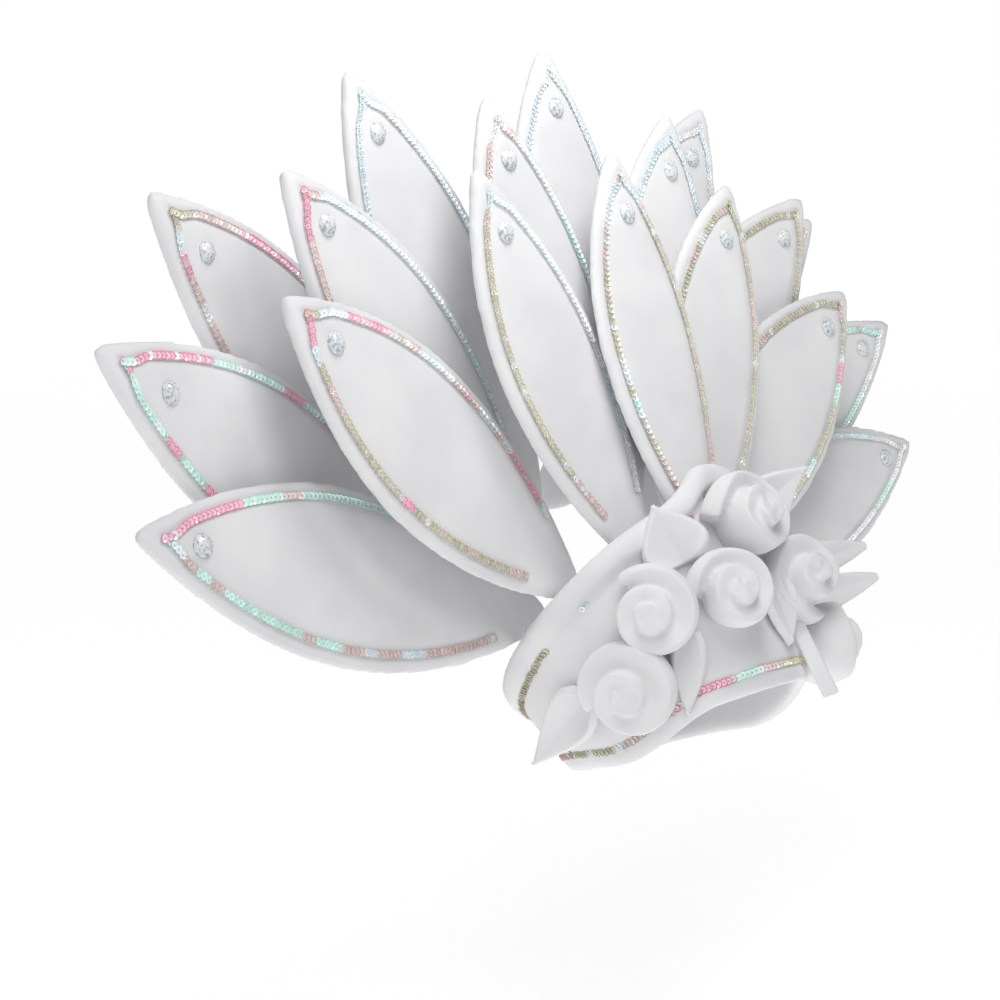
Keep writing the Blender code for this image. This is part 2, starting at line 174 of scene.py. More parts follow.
clear_acrylic, tree, shader = new_material("clear_acrylic_stone")
# The base colour is each facet's painted reflection.
paint = add_node(tree, "ShaderNodeAttribute", {"attribute_name": FACET_REFLECTION})
tree.links.new(paint.outputs["Color"], shader.inputs["Base Color"])
shader.inputs["Transmission Weight"].default_value = 0.25
shader.inputs["Roughness"].default_value = 0.06
shader.inputs["IOR"].default_value = 1.49
shader.inputs["Coat Weight"].default_value = 0.5
shader.inputs["Coat Roughness"].default_value = 0.03


# %% [markdown]
# ## Soft copies of the CAD solids
#
# The CAD solids have the right place and size but few faces. A copy of one is merged, rounded with
# subdivision, remeshed into an even skin of small squares and smoothed a little. That is how soft foam
# looks where it was cut with a hot wire: broad smooth faces and gently rounded edges.


# %% Copy a solid and soften it
def soft_copy(name, source, cell, smoothing, levels=2):
    piece = bpy.data.objects.new(name, nodes[source].data.copy())
    bpy.context.scene.collection.objects.link(piece)
    piece.data.name = name
    choose(piece)
    bpy.ops.object.mode_set(mode="EDIT")
    bpy.ops.mesh.select_all(action="SELECT")
    bpy.ops.mesh.remove_doubles(threshold=0.00005)
    bpy.ops.mesh.tris_convert_to_quads(face_threshold=math.radians(60), shape_threshold=math.radians(60))
    bpy.ops.object.mode_set(mode="OBJECT")
    add_modifier(piece, "soften", "SUBSURF", levels=levels, render_levels=levels)
    add_modifier(piece, "even_skin", "REMESH", mode="VOXEL", voxel_size=cell)
    add_modifier(piece, "relax", "SMOOTH", factor=0.5, iterations=smoothing)
    apply_modifiers(piece)
    bpy.ops.object.shade_smooth()
    return piece


def search_tree(piece):
    return BVHTree.FromPolygons(
        [vertex.co.copy() for vertex in piece.data.vertices], [face.vertices[:] for face in piece.data.polygons]
    )


# %% [markdown]
# ## Petals
#
# Each petal is one leaf shape of 13 mm foam. The table below says where each tip is, as the CAD does, so
# that strings and stones can be laid out on the petal's face. All lengths are in metres, seen from the
# front: x to the wearer's left and z up.

# %% The petals' layout
PETAL_WIDTH = 0.1340
PETAL_LENGTH = 0.3600
TIP_WIDTH = 0.0085
BASE_SHARE = 0.14
WIDEST_SHARE = 0.53
FAN_HALF_SPAN = 0.4500
FAN_TOP = 0.5320
FOAM_THICKNESS = 0.0130

# Name: side, tip out and up as shares of the fan, splay in degrees, length and width shares
PETALS = {
    "front_3": (1, 0.000, 0.837, 0.0, 0.86, 0.86),
    "front_2": (-1, 0.331, 0.799, 20.5, 0.88, 0.90),
    "front_4": (1, 0.331, 0.799, 20.5, 0.88, 0.90),
    "front_1": (-1, 0.727, 0.630, 48.5, 0.94, 1.00),
    "front_5": (1, 0.727, 0.630, 48.5, 0.94, 1.00),
    "front_0": (-1, 0.993, 0.355, 75.0, 1.11, 0.96),
    "front_6": (1, 0.993, 0.355, 75.0, 1.11, 0.96),
    "middle_2": (-1, 0.238, 0.906, 13.0, 0.94, 0.96),
    "middle_3": (1, 0.238, 0.906, 13.0, 0.94, 0.96),
    "middle_1": (-1, 0.667, 0.788, 41.0, 1.00, 1.00),
    "middle_4": (1, 0.667, 0.788, 41.0, 1.00, 1.00),
    "middle_0": (-1, 1.002, 0.570, 60.5, 1.10, 1.00),
    "middle_5": (1, 1.002, 0.570, 60.5, 1.10, 1.00),
    "back_2": (1, 0.000, 0.997, 0.0, 1.00, 1.00),
    "back_1": (-1, 0.460, 0.931, 27.0, 1.05, 1.04),
    "back_3": (1, 0.460, 0.931, 27.0, 1.05, 1.04),
    "back_0": (-1, 0.842, 0.756, 50.5, 1.12, 1.04),
    "back_4": (1, 0.842, 0.756, 50.5, 1.12, 1.04),
}


def half_width(u, width):
    if u > WIDEST_SHARE:
        share = (u - WIDEST_SHARE) / (1 - WIDEST_SHARE)
        narrow = TIP_WIDTH / width
    else:
        share = 1 - u / WIDEST_SHARE
        narrow = BASE_SHARE
    return width / 2 * (1 - (1 - narrow) * share**2)


def petal_point(name, u, across):
    """Point (x, 0, z) of a petal seen from the front: u from base to tip, across in metres, + is the upper edge."""
    side, tip_out, tip_up, splay, length_share, _ = PETALS[name]
    turn = math.radians(splay)
    length = PETAL_LENGTH * length_share
    x = tip_out * FAN_HALF_SPAN - math.sin(turn) * length * (1 - u) - math.cos(turn) * across
    z = tip_up * FAN_TOP - math.cos(turn) * length * (1 - u) + math.sin(turn) * across
    return Vector((x * side, 0.0, z))


# %% Make the petals
petals = {}
petal_trees = {}
for name in PETALS:
    petal = soft_copy("foam_petal_" + name, "petal_" + name, 0.0035, 12)
    petals[name] = petal
    petal_trees[name] = search_tree(petal)
print("petals", len(petals), "faces", sum(len(petal.data.polygons) for petal in petals.values()))


# %% [markdown]
# ## Where the strings run
#
# On the real petal the string is sewn on 13 mm inside the edge: up one side, round below the tip and down
# the other. The path is drawn as seen from the front, and each point is then dropped onto the foam along
# the depth of the crown. The tree search returns the foam's surface and the way it faces.


# %% String paths on the petals
STRING_INSET = 0.0135
STRING_BASE = 0.17
STRING_TIP = 0.0195
MEETING_SHARE = 0.045
SEQUIN_PITCH = 0.0041


def evenly(points, spacing):
    """The same path with points at an even spacing."""
    lengths = [0.0]
    for start, end in zip(points, points[1:]):
        lengths.append(lengths[-1] + (end - start).length)
    count = max(int(round(lengths[-1] / spacing)), 2)
    wanted = np.linspace(0.0, lengths[-1], count + 1)
    columns = [np.interp(wanted, lengths, [point[axis] for point in points]) for axis in range(3)]
    return [Vector(row) for row in zip(*columns)]


def on_petal(name, flat_point):
    """Point and outward normal of the petal's front face behind a point seen from the front."""
    start = Vector((flat_point.x, -1.0, flat_point.z))
    hit, normal, _, _ = petal_trees[name].ray_cast(start, Vector((0.0, 1.0, 0.0)))
    return (hit, normal) if hit else None


def petal_string_path(name):
    width = PETAL_WIDTH * PETALS[name][5]
    length = PETAL_LENGTH * PETALS[name][4]
    stop = 1 - STRING_TIP / length
    lower = []
    upper = []
    for u in np.linspace(STRING_BASE, stop, 60):
        reach = max(half_width(u, width) - STRING_INSET, 0.0) * min((stop - u) / MEETING_SHARE, 1.0)
        lower.append(petal_point(name, u, -reach))
        upper.append(petal_point(name, u, reach))
    return evenly(upper[::-1], SEQUIN_PITCH), evenly(lower[::-1], SEQUIN_PITCH)


# %% [markdown]
# ## The band
#
# The band is the same foam, bent round into a ring and glued. A string is sewn on below its rim and
# another above its foot. The stitches pull the foam in along each string, so the rim stands up as a
# soft roll. The band is copied from its solid, and the strings' own solids give their routes.


# %% Make the band and read its strings' routes
WORN_TILT = math.radians(28.5)
UNTILT = Matrix.Rotation(WORN_TILT, 3, "X")
ROUTE_STEPS = 48

band = soft_copy("foam_band", "band", 0.0030, 5)


def band_route(source):
    """Even route along a closed string's solid, found by the angle of its points round the band."""
    groups = [[] for _ in range(ROUTE_STEPS)]
    for vertex in nodes[source].data.vertices:
        level = UNTILT @ vertex.co
        turn = math.atan2(level.x, -level.y) % math.tau
        groups[round(turn / math.tau * ROUTE_STEPS) % ROUTE_STEPS].append(vertex.co)
    knots = [sum(group, Vector()) / len(group) for group in groups if group]
    smooth = []
    for place in range(len(knots)):
        before, start, end, after = (knots[(place + step) % len(knots)] for step in (-1, 0, 1, 2))
        for t in np.linspace(0, 1, 6, endpoint=False):
            smooth.append(
                0.5
                * (
                    2 * start
                    + (end - before) * t
                    + (2 * before - 5 * start + 4 * end - after) * t**2
                    + (3 * start - before - 3 * end + after) * t**3
                )
            )
    return evenly(smooth + [smooth[0]], SEQUIN_PITCH)


band_routes = {"upper": band_route("band_trim_upper"), "lower": band_route("band_trim_lower")}
print("band strings", {name: len(route) for name, route in band_routes.items()})


# %% [markdown]
# ## The rolled rim
#
# The foam above the upper string is folded over, so it stands proud of the wall as a soft roll and
# overhangs the string. Points of the outer face above the string move outwards by half an ellipse.


# %% Swell the rim
ROLL_HEIGHT = 0.0240
ROLL_SWELL = 0.0060

string_turns = []
string_heights = []
for point in band_routes["upper"]:
    level = UNTILT @ point
    string_turns.append(math.atan2(level.x, -level.y) % math.tau)
    string_heights.append(level.z)
order = np.argsort(string_turns)
string_turns = np.array(string_turns)[order]
string_heights = np.array(string_heights)[order]

normals = [vertex.normal.copy() for vertex in band.data.vertices]
for vertex, normal in zip(band.data.vertices, normals):
    level = UNTILT @ vertex.co
    turn = math.atan2(level.x, -level.y)
    outward = Vector((math.sin(turn), -math.cos(turn), 0.0))
    facing = (UNTILT @ normal).dot(outward)
    height = level.z - np.interp(turn % math.tau, string_turns, string_heights, period=math.tau)
    share = (height - 0.001) / ROLL_HEIGHT
    if 0.0 < share < 1.0 and facing > 0.0:
        swell = ROLL_SWELL * math.sqrt(1 - (2 * share - 1) ** 2) * min(facing * 2, 1.0)
        vertex.co += (UNTILT.transposed() @ outward) * swell
band.data.update()
add_modifier(band, "relax", "SMOOTH", factor=0.5, iterations=3)
apply_modifiers(band)


# %% [markdown]
# ## Stitched grooves
#
# Where a string is sewn down, the soft foam sinks by a millimetre or two and swells again beside it.
# Points of the foam near a string's path are moved inwards by an amount that fades with distance.


# %% Press the strings into the foam
GROOVE_DEPTH = 0.0016
GROOVE_REACH = 0.0075


def press(piece, paths):
    route = [point for path in paths for point in path]
    near = KDTree(len(route))
    for place, point in enumerate(route):
        near.insert(point, place)
    near.balance()
    normals = [vertex.normal.copy() for vertex in piece.data.vertices]
    for vertex, normal in zip(piece.data.vertices, normals):
        distance = near.find(vertex.co)[2]
        if distance < GROOVE_REACH:
            share = 1 - (distance / GROOVE_REACH) ** 2
            vertex.co -= normal * GROOVE_DEPTH * share**2


petal_routes = {}
for name, petal in petals.items():
    sides = []
    for path in petal_string_path(name):
        hits = [on_petal(name, point) for point in path]
        sides.append([hit for hit in hits if hit])
    petal_routes[name] = sides
    press(petal, [[hit[0] for hit in side] for side in sides])
    petal_trees[name] = search_tree(petal)
    hand_over(petal, "white_foam", foam, "petal_" + name)
press(band, band_routes.values())
band_tree = search_tree(band)
hand_over(band, "white_foam", foam, "band")


# %% [markdown]
# ## One sequin
#
# A sequin is a shallow cup about 6 mm across with a hole in its middle. It starts as a circle of nine
# edges. They are extruded and drawn inwards twice, to the foot of the rim and to the hole, and the film
# gets its thickness from Solidify. The rim and the heart take different colours.


# %% Model the sequin
SEQUIN_RADIUS = 0.0029
SEQUIN_HOLE = 0.0008
SEQUIN_CUP = 0.0006
SEQUIN_SIDES = 9
RIM_SHARE = 0.68
FILM_THICKNESS = 0.0002

bpy.ops.object.select_all(action="DESELECT")
bpy.ops.mesh.primitive_circle_add(vertices=SEQUIN_SIDES, radius=SEQUIN_RADIUS, fill_type="NOTHING")
sequin = bpy.context.object
bpy.ops.object.mode_set(mode="EDIT")
bpy.ops.mesh.select_all(action="SELECT")
bpy.ops.mesh.extrude_edges_move()
bpy.ops.transform.resize(value=(RIM_SHARE, RIM_SHARE, 1))
bpy.ops.transform.translate(value=(0, 0, -SEQUIN_CUP))
bpy.ops.mesh.extrude_edges_move()
bpy.ops.transform.resize(value=(SEQUIN_HOLE / SEQUIN_RADIUS / RIM_SHARE,) * 2 + (1,))
bpy.ops.mesh.select_all(action="SELECT")
bpy.ops.mesh.normals_make_consistent(inside=False)
bpy.ops.object.mode_set(mode="OBJECT")
add_modifier(sequin, "film", "SOLIDIFY", thickness=FILM_THICKNESS, offset=0.0)
apply_modifiers(sequin)
sequin_points = np.array([vertex.co for vertex in sequin.data.vertices])
sequin_faces = [list(face.vertices) for face in sequin.data.polygons]
on_rim = np.hypot(sequin_points[:, 0], sequin_points[:, 1]) > SEQUIN_RADIUS * (1 + RIM_SHARE) / 2
bpy.data.objects.remove(sequin)
print("sequin faces", len(sequin_faces))

# %% [markdown]
# ## Strings of sequins
#
# Chain-stitched sequins overlap like roof tiles, each tipped a little along the string. Where the film
# catches the light, a whole sequin is painted mint, pale blue or white: a painted highlight in its colour.
# Elsewhere it is nearly clear and only its rim shows, as a pink, dull gold or rose-brown ring. The runs of
# colour are written as letters, one for each stretch from the petal's tip to its base, first the upper side and
# then the lower.

# %% Colours of the strings: rim and heart
# M, B and W are painted highlights, film painted pale as if it caught the light; P, G and R are the coating's own
# rim colours.
FILM_AND_PAINTED_SHINE = {
    "P": ("#F0669C", "#F9CFDD"),
    "M": ("#D2FAEC", "#E0FDF4"),
    "B": ("#E0F3FB", "#EDF8FD"),
    "W": ("#ECEEEE", "#F8FAFA"),
    "G": ("#B8B089", "#E2E0D2"),
    "R": ("#D3ABA4", "#EDE2DF"),
}
GLINT_SHARE = 0.10
RUNS = {
    "front_0": ("PPPPMMRMMMMMMMMMPR", "BBRMRMMMMMMRMMRRBRRBBRRRRRRR"),
    "front_1": ("GBBBPRPPRGRBBWWRPRBBRWPPPPRB", "PPPBGGRRGGGGGGGGPGGGGGGGGGGGRR"),
    "front_2": ("BBBBWWWWBBWW", "BBRGGGGGGGGGGGGGGGGGGGRRRR"),
    "front_3": ("WBBWWRRRGRGGGGWBGMGGGRRR", "BBBRGGGGGGGGGGGGGGGRRRR"),
    "front_4": ("GRGGWGRGGGGMGGMGGGGGGGGG", "GGGGRGGGGGGG"),
    "front_5": ("GGGGRGGGGG", "RGGPMGGGMGGGGG"),
    "front_6": ("WBWRWWW", "WMWWWRR"),
    "middle_0": ("MPPPPPPMMWMMMPPMMPPRRPPRRRR", "PMMMPMMPPMMMMRRWWRGGG"),
    "middle_1": ("RBBBBBBBBBBMBBBB", "PPRRRRPPPPRPPRR"),
    "middle_2": ("RWBBBMMBBBWMMMM", "WRRWWRWWWB"),
    "middle_3": ("BBWWWBBW", "BBWWWW"),
    "middle_4": ("GGRGGGG", "GGRGGG"),
    "middle_5": ("MPMWM", "WMPMR"),
    "back_0": ("GRRPPPBBPPPRWW", "GBPRWRRRPPRRPPPPRGR"),
    "back_1": ("BBBBBBBBBBBB", "BBBBBBBBBBWW"),
    "back_2": ("WBBBWBBBWW", "BBBBWBBBBB"),
    "back_3": ("WBWBWW", "BWWBWW"),
    "back_4": ("PRWBGG", "RPWBGG"),
}
BAND_RUNS = {
    "upper": ((0.018, "-"), (0.04, "G"), (0.08, "-"), (0.3, "G"), (0.34, "R"), (0.735, "G"), (0.793, "-"),
              (0.8, "M"), (0.936, "-"), (0.944, "P"), (0.972, "-"), (0.988, "G"), (1.0, "-")),
    "lower": ((0.3, "G"), (0.34, "R"), (0.6, "G"), (0.66, "R"), (0.765, "G"), (0.845, "R"), (0.915, "P"),
              (0.953, "M"), (0.962, "W"), (0.985, "R"), (1.0, "G")),
}
COLOUR_SHIFT = 0.10
SEQUIN_TIP = math.radians(14)
STRING_LIFT = 0.0011


# %% Thread the strings
def thread(name, stations, letters):
    """One mesh of sequins: stations are (point, normal) pairs, and letters their colours in turn."""
    shuffle = random.Random(name)
    points = []
    faces = []
    colours = []
    for place, (point, normal) in enumerate(stations):
        ahead = stations[min(place + 1, len(stations) - 1)][0]
        behind = stations[max(place - 1, 0)][0]
        along = (ahead - behind).normalized()
        side = normal.cross(along).normalized()
        turn = Matrix((along, side, along.cross(side))).transposed()
        tip = SEQUIN_TIP + shuffle.uniform(-0.12, 0.12)
        turn = turn @ Matrix.Rotation(-tip, 3, "Y") @ Matrix.Rotation(shuffle.uniform(-0.14, 0.14), 3, "X")
        turn = turn @ Matrix.Rotation(shuffle.uniform(0, math.tau), 3, "Z")
        middle = point + normal * STRING_LIFT
        letter = letters[place]
        shift = shuffle.uniform(1 - COLOUR_SHIFT, 1 + COLOUR_SHIFT)
        if letter == "-":
            continue
        # Painted highlight: a share of sequins is painted white or pale blue as if it caught the light, and a few
        # rose-brown.
        if shuffle.random() < GLINT_SHARE:
            letter = shuffle.choice("WWBR")
        rim, heart = (np.minimum(np.array(linear(shade)) * shift, 1.0) for shade in FILM_AND_PAINTED_SHINE[letter])
        colours.append(np.where(on_rim[:, None], rim, heart))
        first = len(points) * len(sequin_points)
        points.append(sequin_points @ np.array(turn).T + np.array(middle))
        faces.extend([first + corner for corner in face] for face in sequin_faces)
    mesh = bpy.data.meshes.new(name)
    mesh.from_pydata([Vector(point) for point in np.concatenate(points)], [], faces)
    paint = mesh.color_attributes.new(SEQUIN_COLOUR_AND_SHINE, "FLOAT_COLOR", "POINT")
    paint.data.foreach_set("color", np.concatenate(colours).ravel())
    string = bpy.data.objects.new(name, mesh)
    bpy.context.scene.collection.objects.link(string)
    return string


threaded = 0
for name in PETALS:
    upper, lower = petal_routes[name]
    letters_upper, letters_lower = RUNS[name]
    stations = lower[::-1] + upper
    letters = []
    for side, run in ((lower[::-1], letters_lower[::-1]), (upper, letters_upper)):
        letters += [run[int(place / len(side) * len(run))] for place in range(len(side))]
    string = thread("sequins_" + name, stations, letters)
    hand_over(string, "sequin_string", sequin_film, "trim_" + name)
    threaded += len(stations)

for name, route in band_routes.items():
    stations = []
    for point in route:
        hit, normal, _, _ = band_tree.find_nearest(point)
        stations.append((hit, normal))
    letters = []
    for place in range(len(stations)):
        letters.append(next(letter for end, letter in BAND_RUNS[name] if place / len(stations) < end))
    string = thread("sequins_band_" + name, stations, letters)
    hand_over(string, "sequin_string", sequin_film, "band_trim_" + name)
    threaded += len(stations)
print("sequins", threaded, "faces", threaded * len(sequin_faces))

# %% [markdown]
# ## Clear stones
#
# Each stone is round, flat at the back and cut with four rings of facets below a small table. It is a
# sixteen-sided cylinder whose top is extruded, narrowed and turned four times, so the facets become
# triangles that catch the light one by one.

# %% Cut one stone and set a copy below each tip
STONE_RADIUS = 0.0080
STONE_SIDES = 16
STONE_BELOW_TIP = 0.0500
STONE_LOWER = {"middle_0": 0.0140, "back_0": 0.0110}
STONE_FOOT = 0.0008
STONE_RINGS = ((0.86, 0.0016), (0.80, 0.0011), (0.72, 0.0008), (0.60, 0.0005))
# Painted reflections: the tones that facets are painted in, white to grey and one pale mint.
FACET_REFLECTION_TONES = ("#FFFFFF", "#FFFFFF", "#F1F4F8", "#D9DDE4", "#B9BEC8", "#E2F6F4")

bpy.ops.object.select_all(action="DESELECT")
bpy.ops.mesh.primitive_cylinder_add(
    vertices=STONE_SIDES, radius=STONE_RADIUS, depth=STONE_FOOT, location=(0, 0, STONE_FOOT / 2)
)
stone = bpy.context.object
bpy.ops.object.transform_apply()
bpy.ops.object.mode_set(mode="EDIT")
bpy.ops.mesh.select_all(action="DESELECT")
bpy.ops.object.mode_set(mode="OBJECT")
for face in stone.data.polygons:
    face.select = face.normal.z > 0.9
bpy.ops.object.mode_set(mode="EDIT")
for size, rise in STONE_RINGS:
    bpy.ops.mesh.extrude_region_move(TRANSFORM_OT_translate={"value": (0, 0, rise)})
    bpy.ops.transform.resize(value=(size, size, 1), center_override=(0, 0, 0))
    bpy.ops.transform.rotate(value=math.pi / STONE_SIDES, orient_axis="Z", center_override=(0, 0, 0))
bpy.ops.mesh.select_all(action="SELECT")
bpy.ops.mesh.quads_convert_to_tris()
bpy.ops.mesh.normals_make_consistent(inside=False)
bpy.ops.object.mode_set(mode="OBJECT")

# Each facet is painted with one of these reflection tones at random.
shuffle = random.Random("stones")
reflections = stone.data.color_attributes.new(FACET_REFLECTION, "FLOAT_COLOR", "CORNER")
for face in stone.data.polygons:
    reflection = linear(shuffle.choice(FACET_REFLECTION_TONES))
    for corner in face.loop_indices:
        reflections.data[corner].color = reflection

for name in PETALS:
    length = PETAL_LENGTH * PETALS[name][4]
    below = STONE_BELOW_TIP + STONE_LOWER.get(name, 0.0)
    point, normal = on_petal(name, petal_point(name, 1 - below / length, 0.0))
    set_stone = bpy.data.objects.new("stone_" + name, stone.data.copy())
    bpy.context.scene.collection.objects.link(set_stone)
    turn = Matrix.Rotation(shuffle.uniform(0, math.tau), 4, "Z")
    place = Matrix.Translation(point + normal * 0.0002) @ normal.to_track_quat("Z", "Y").to_matrix().to_4x4()
    set_stone.data.transform(place @ turn)
    replaced = ["gem_" + name] if name.startswith("front") else []
    hand_over(set_stone, "clear_stone", clear_acrylic, *replaced)
bpy.data.objects.remove(stone)

# %% [markdown]
# ## Roses
#
# A rose is a long strip of thick foam, rolled up tightly and glued at its foot. It starts as a flat grid,
# which no single operator rolls up, so each point is moved to its place on the roll: the strip runs
# inwards in a spiral, its foot follows the band, and its lip leans in and dips towards the outer turns.
# Solidify and Bevel give the thick rounded strip, and a remesh fuses the turns where they press on each
# other, which leaves a soft groove between them.

# %% The roses' layout
STRIP_SHARE = 1.04
ROLL_TURNS = 2.0
ROLL_FOOT = 0.55
ROLL_START = 0.0005
ROLL_COLUMNS = 97
ROLL_ROWS = 13
CROWN_UP = Vector((0.0, math.sin(WORN_TILT), math.cos(WORN_TILT)))

# Foot, direction that it faces, radius, height, turn of the strip's end, flare of its last layer
ROSES = (
    ((-0.0884, -0.0210, 0.0486), (-0.932, -0.361, -0.011), 0.0375, 0.0383, 175.0, 0.0050),
    ((-0.0790, -0.0262, 0.1040), (-0.818, -0.555, 0.150), 0.0345, 0.0371, 110.0, 0.0040),
    ((-0.0345, -0.0552, 0.1126), (-0.428, -0.819, 0.381), 0.0338, 0.0383, 165.0, 0.0020),
    ((-0.0016, -0.0346, 0.1585), (-0.021, -0.879, 0.477), 0.0353, 0.0452, 165.0, 0.0030),
    ((0.0560, -0.0345, 0.1085), (-0.120, -0.925, 0.360), 0.0350, 0.0557, 300.0, 0.0050),
    ((0.0682, -0.0513, 0.0614), (0.785, -0.593, 0.181), 0.0323, 0.0487, -60.0, 0.0040),
)


# %% Roll up the roses
def new_grid(name, columns, rows):
    """Flat grid whose points run from -1 to 1 both ways."""
    bpy.ops.object.select_all(action="DESELECT")
    bpy.ops.mesh.primitive_grid_add(x_subdivisions=columns - 1, y_subdivisions=rows - 1, size=2)
    piece = bpy.context.object
    piece.name = name
    piece.data.name = name
    return piece


def foam_sheet(piece, thickness, rounding, cell, smoothing):
    """Turn a shaped grid into foam: a thick sheet with round edges and one even skin."""
    add_modifier(piece, "thickness", "SOLIDIFY", thickness=thickness, offset=0.0, use_even_offset=True)
    add_modifier(piece, "round", "BEVEL", width=rounding, segments=3, angle_limit=math.radians(50))
    add_modifier(piece, "even_skin", "REMESH", mode="VOXEL", voxel_size=cell)
    add_modifier(piece, "relax", "SMOOTH", factor=0.5, iterations=smoothing)
    apply_modifiers(piece)
    bpy.ops.object.shade_smooth()


def roll_up(number):
    foot_point, facing, radius, tall, end_turn, flare = ROSES[number]
    origin = Vector(foot_point)
    facing = Vector(facing).normalized()
    level = CROWN_UP.cross(facing).normalized()
    upward = facing.cross(level)
    pitch = (radius - 0.005 - ROLL_START) / ROLL_TURNS
    thickness = pitch * STRIP_SHARE
    wave = random.Random(number)
    phase = wave.uniform(0, math.tau)

    def side(turn):
        return level * math.cos(turn) + upward * math.sin(turn)

    def ground(reach, turn):
        start = origin + side(turn) * reach + facing * tall
        distance = band_tree.ray_cast(start, -facing, tall + 0.015)[3]
        return -0.012 if distance is None else tall - distance

    rose = new_grid(f"foam_rose_{number}", ROLL_COLUMNS, ROLL_ROWS)
    for vertex in rose.data.vertices:
        u = (vertex.co.x + 1) / 2
        v = (vertex.co.y + 1) / 2
        turn = math.radians(end_turn) - math.tau * ROLL_TURNS * (1 - u)
        mouth = ROLL_START + pitch * ROLL_TURNS * u
        foot = ROLL_START + (mouth - ROLL_START) * ROLL_FOOT
        belly = math.sin(math.pi / 2 * min(v / 0.6, 1.0))
        lean = max(v - 0.6, 0.0) / 0.4
        loose = math.sin(math.pi * max(u - 0.60, 0.0) / 0.40)
        corner = max(u - 0.94, 0.0) / 0.06
        reach = foot + (mouth - foot) * belly - 0.0035 * u * lean**2 + flare * loose * v
        top = tall * (1 - 0.30 * u**1.6) - 0.003 * loose + 0.0012 * math.sin(3 * turn + phase)
        top -= 0.30 * tall * corner**2
        low = ground(foot, turn)
        vertex.co = origin + side(turn) * reach + facing * (low + (top - low) * v)
    foam_sheet(rose, thickness, thickness * 0.42, 0.0016, 5)
    hand_over(rose, "white_foam", foam, f"rose_{number}")


for number in range(len(ROSES)):
    roll_up(number)

# %% [markdown]
# ## Leaves
#
# The leaves are cut from thinner foam. Each is pinched at its root, so that its sides stand up there, and
# it opens out towards a sharp tip, with a faint crease along its middle. The grid follows a curve through
# the leaf's root, middle and tip.

# %% Curl the leaves
LEAF_THICKNESS = 0.0065
CREASE_DEPTH = 0.0016
CREASE_WIDTH = 0.16

# Root, middle, tip, the way the leaf faces, its width, and how sharply it narrows
LEAVES = (
    (
        (-0.1023, 0.0147, 0.0401), (-0.1073, 0.0327, 0.0155), (-0.1211, 0.0539, -0.0165),
        (-0.956, -0.001, -0.294), 0.0398, 1.0,
    ),
    (
        (-0.0554, -0.0356, 0.1378), (-0.0618, -0.0264, 0.1578), (-0.0724, -0.0198, 0.1810),
        (-0.673, -0.691, 0.264), 0.0500, 1.0,
    ),
    (
        (-0.0651, -0.0484, 0.0920), (-0.0710, -0.0530, 0.0628), (-0.0757, -0.0571, 0.0333),
        (-0.785, -0.593, 0.181), 0.0250, 1.0,
    ),
    (
        (0.0378, -0.0337, 0.1600), (0.0525, -0.0331, 0.1770), (0.0817, -0.0466, 0.2006),
        (-0.250, -0.940, 0.230), 0.0430, 1.0,
    ),
    (
        (0.0187, -0.0567, 0.1256), (0.0137, -0.0713, 0.1006), (0.0109, -0.0850, 0.0763),
        (0.020, -0.892, 0.444), 0.0360, 1.0,
    ),
    (
        (0.0967, -0.0057, 0.1025), (0.1145, -0.0152, 0.1139), (0.1688, -0.0454, 0.1293),
        (-0.520, -0.800, 0.190), 0.0360, 0.5,
    ),
    (
        (0.0920, -0.0181, 0.0748), (0.1090, -0.0289, 0.0880), (0.1615, -0.0618, 0.1064),
        (-0.520, -0.800, 0.190), 0.0360, 0.5,
    ),
)


def curl_leaf(number):
    root, middle, tip = (Vector(point) for point in LEAVES[number][:3])
    facing = Vector(LEAVES[number][3])
    width, narrowing = LEAVES[number][4:]
    leaf = new_grid(f"foam_leaf_{number}", 25, 13)
    for vertex in leaf.data.vertices:
        u = (vertex.co.x + 1) / 2
        v = vertex.co.y
        spine = root * (2 * (u - 0.5) * (u - 1)) - middle * (4 * u * (u - 1)) + tip * (2 * u * (u - 0.5))
        along = root * (4 * u - 3) - middle * (8 * u - 4) + tip * (4 * u - 1)
        across = facing.cross(along).normalized()
        out = along.cross(across).normalized()
        half = width / 2 * max(math.sin(math.pi * (0.10 + 0.90 * u) ** 0.8), 0.03) ** narrowing
        stand = half * v**2 * (0.55 * (1 - u) ** 2 + 0.10)
        crease = CREASE_DEPTH * math.exp(-((v / CREASE_WIDTH) ** 2)) * math.sin(math.pi * u) ** 0.5
        vertex.co = spine + across * half * v + out * (stand - crease)
    foam_sheet(leaf, LEAF_THICKNESS, LEAF_THICKNESS * 0.35, 0.0014, 3)
    hand_over(leaf, "white_foam", foam, f"leaf_{number}")


for number in range(len(LEAVES)):
    curl_leaf(number)

# %% [markdown]
# ## The hanging strip
#
# One narrow offcut of foam sheet hangs from under a rose on the wearer's left, past the band's lower
# edge. It is flat, straight and cut square at its end.

# %% Hang the strip
STRIP_WIDTH = 0.0125
STRIP_THICKNESS = 0.0042
STRIP_ROUTE = (
    (0.0359, -0.0627, 0.1004),
    (0.0336, -0.0765, 0.0813),
    (0.0299, -0.0927, 0.0617),
    (0.0260, -0.1112, 0.0392),
)
STRIP_ACROSS = Vector((0.80, -0.52, 0.30)).normalized()

hanging = new_grid("foam_strip", 22, 5)
for vertex in hanging.data.vertices:
    run = (vertex.co.x + 1) / 2 * (len(STRIP_ROUTE) - 1)
    middle = [np.interp(run, range(len(STRIP_ROUTE)), [point[axis] for point in STRIP_ROUTE]) for axis in range(3)]
    vertex.co = Vector(middle) + STRIP_ACROSS * vertex.co.y * STRIP_WIDTH / 2
foam_sheet(hanging, STRIP_THICKNESS, 0.0012, 0.0011, 2)
hand_over(hanging, "white_foam", foam, "hanging_strip")

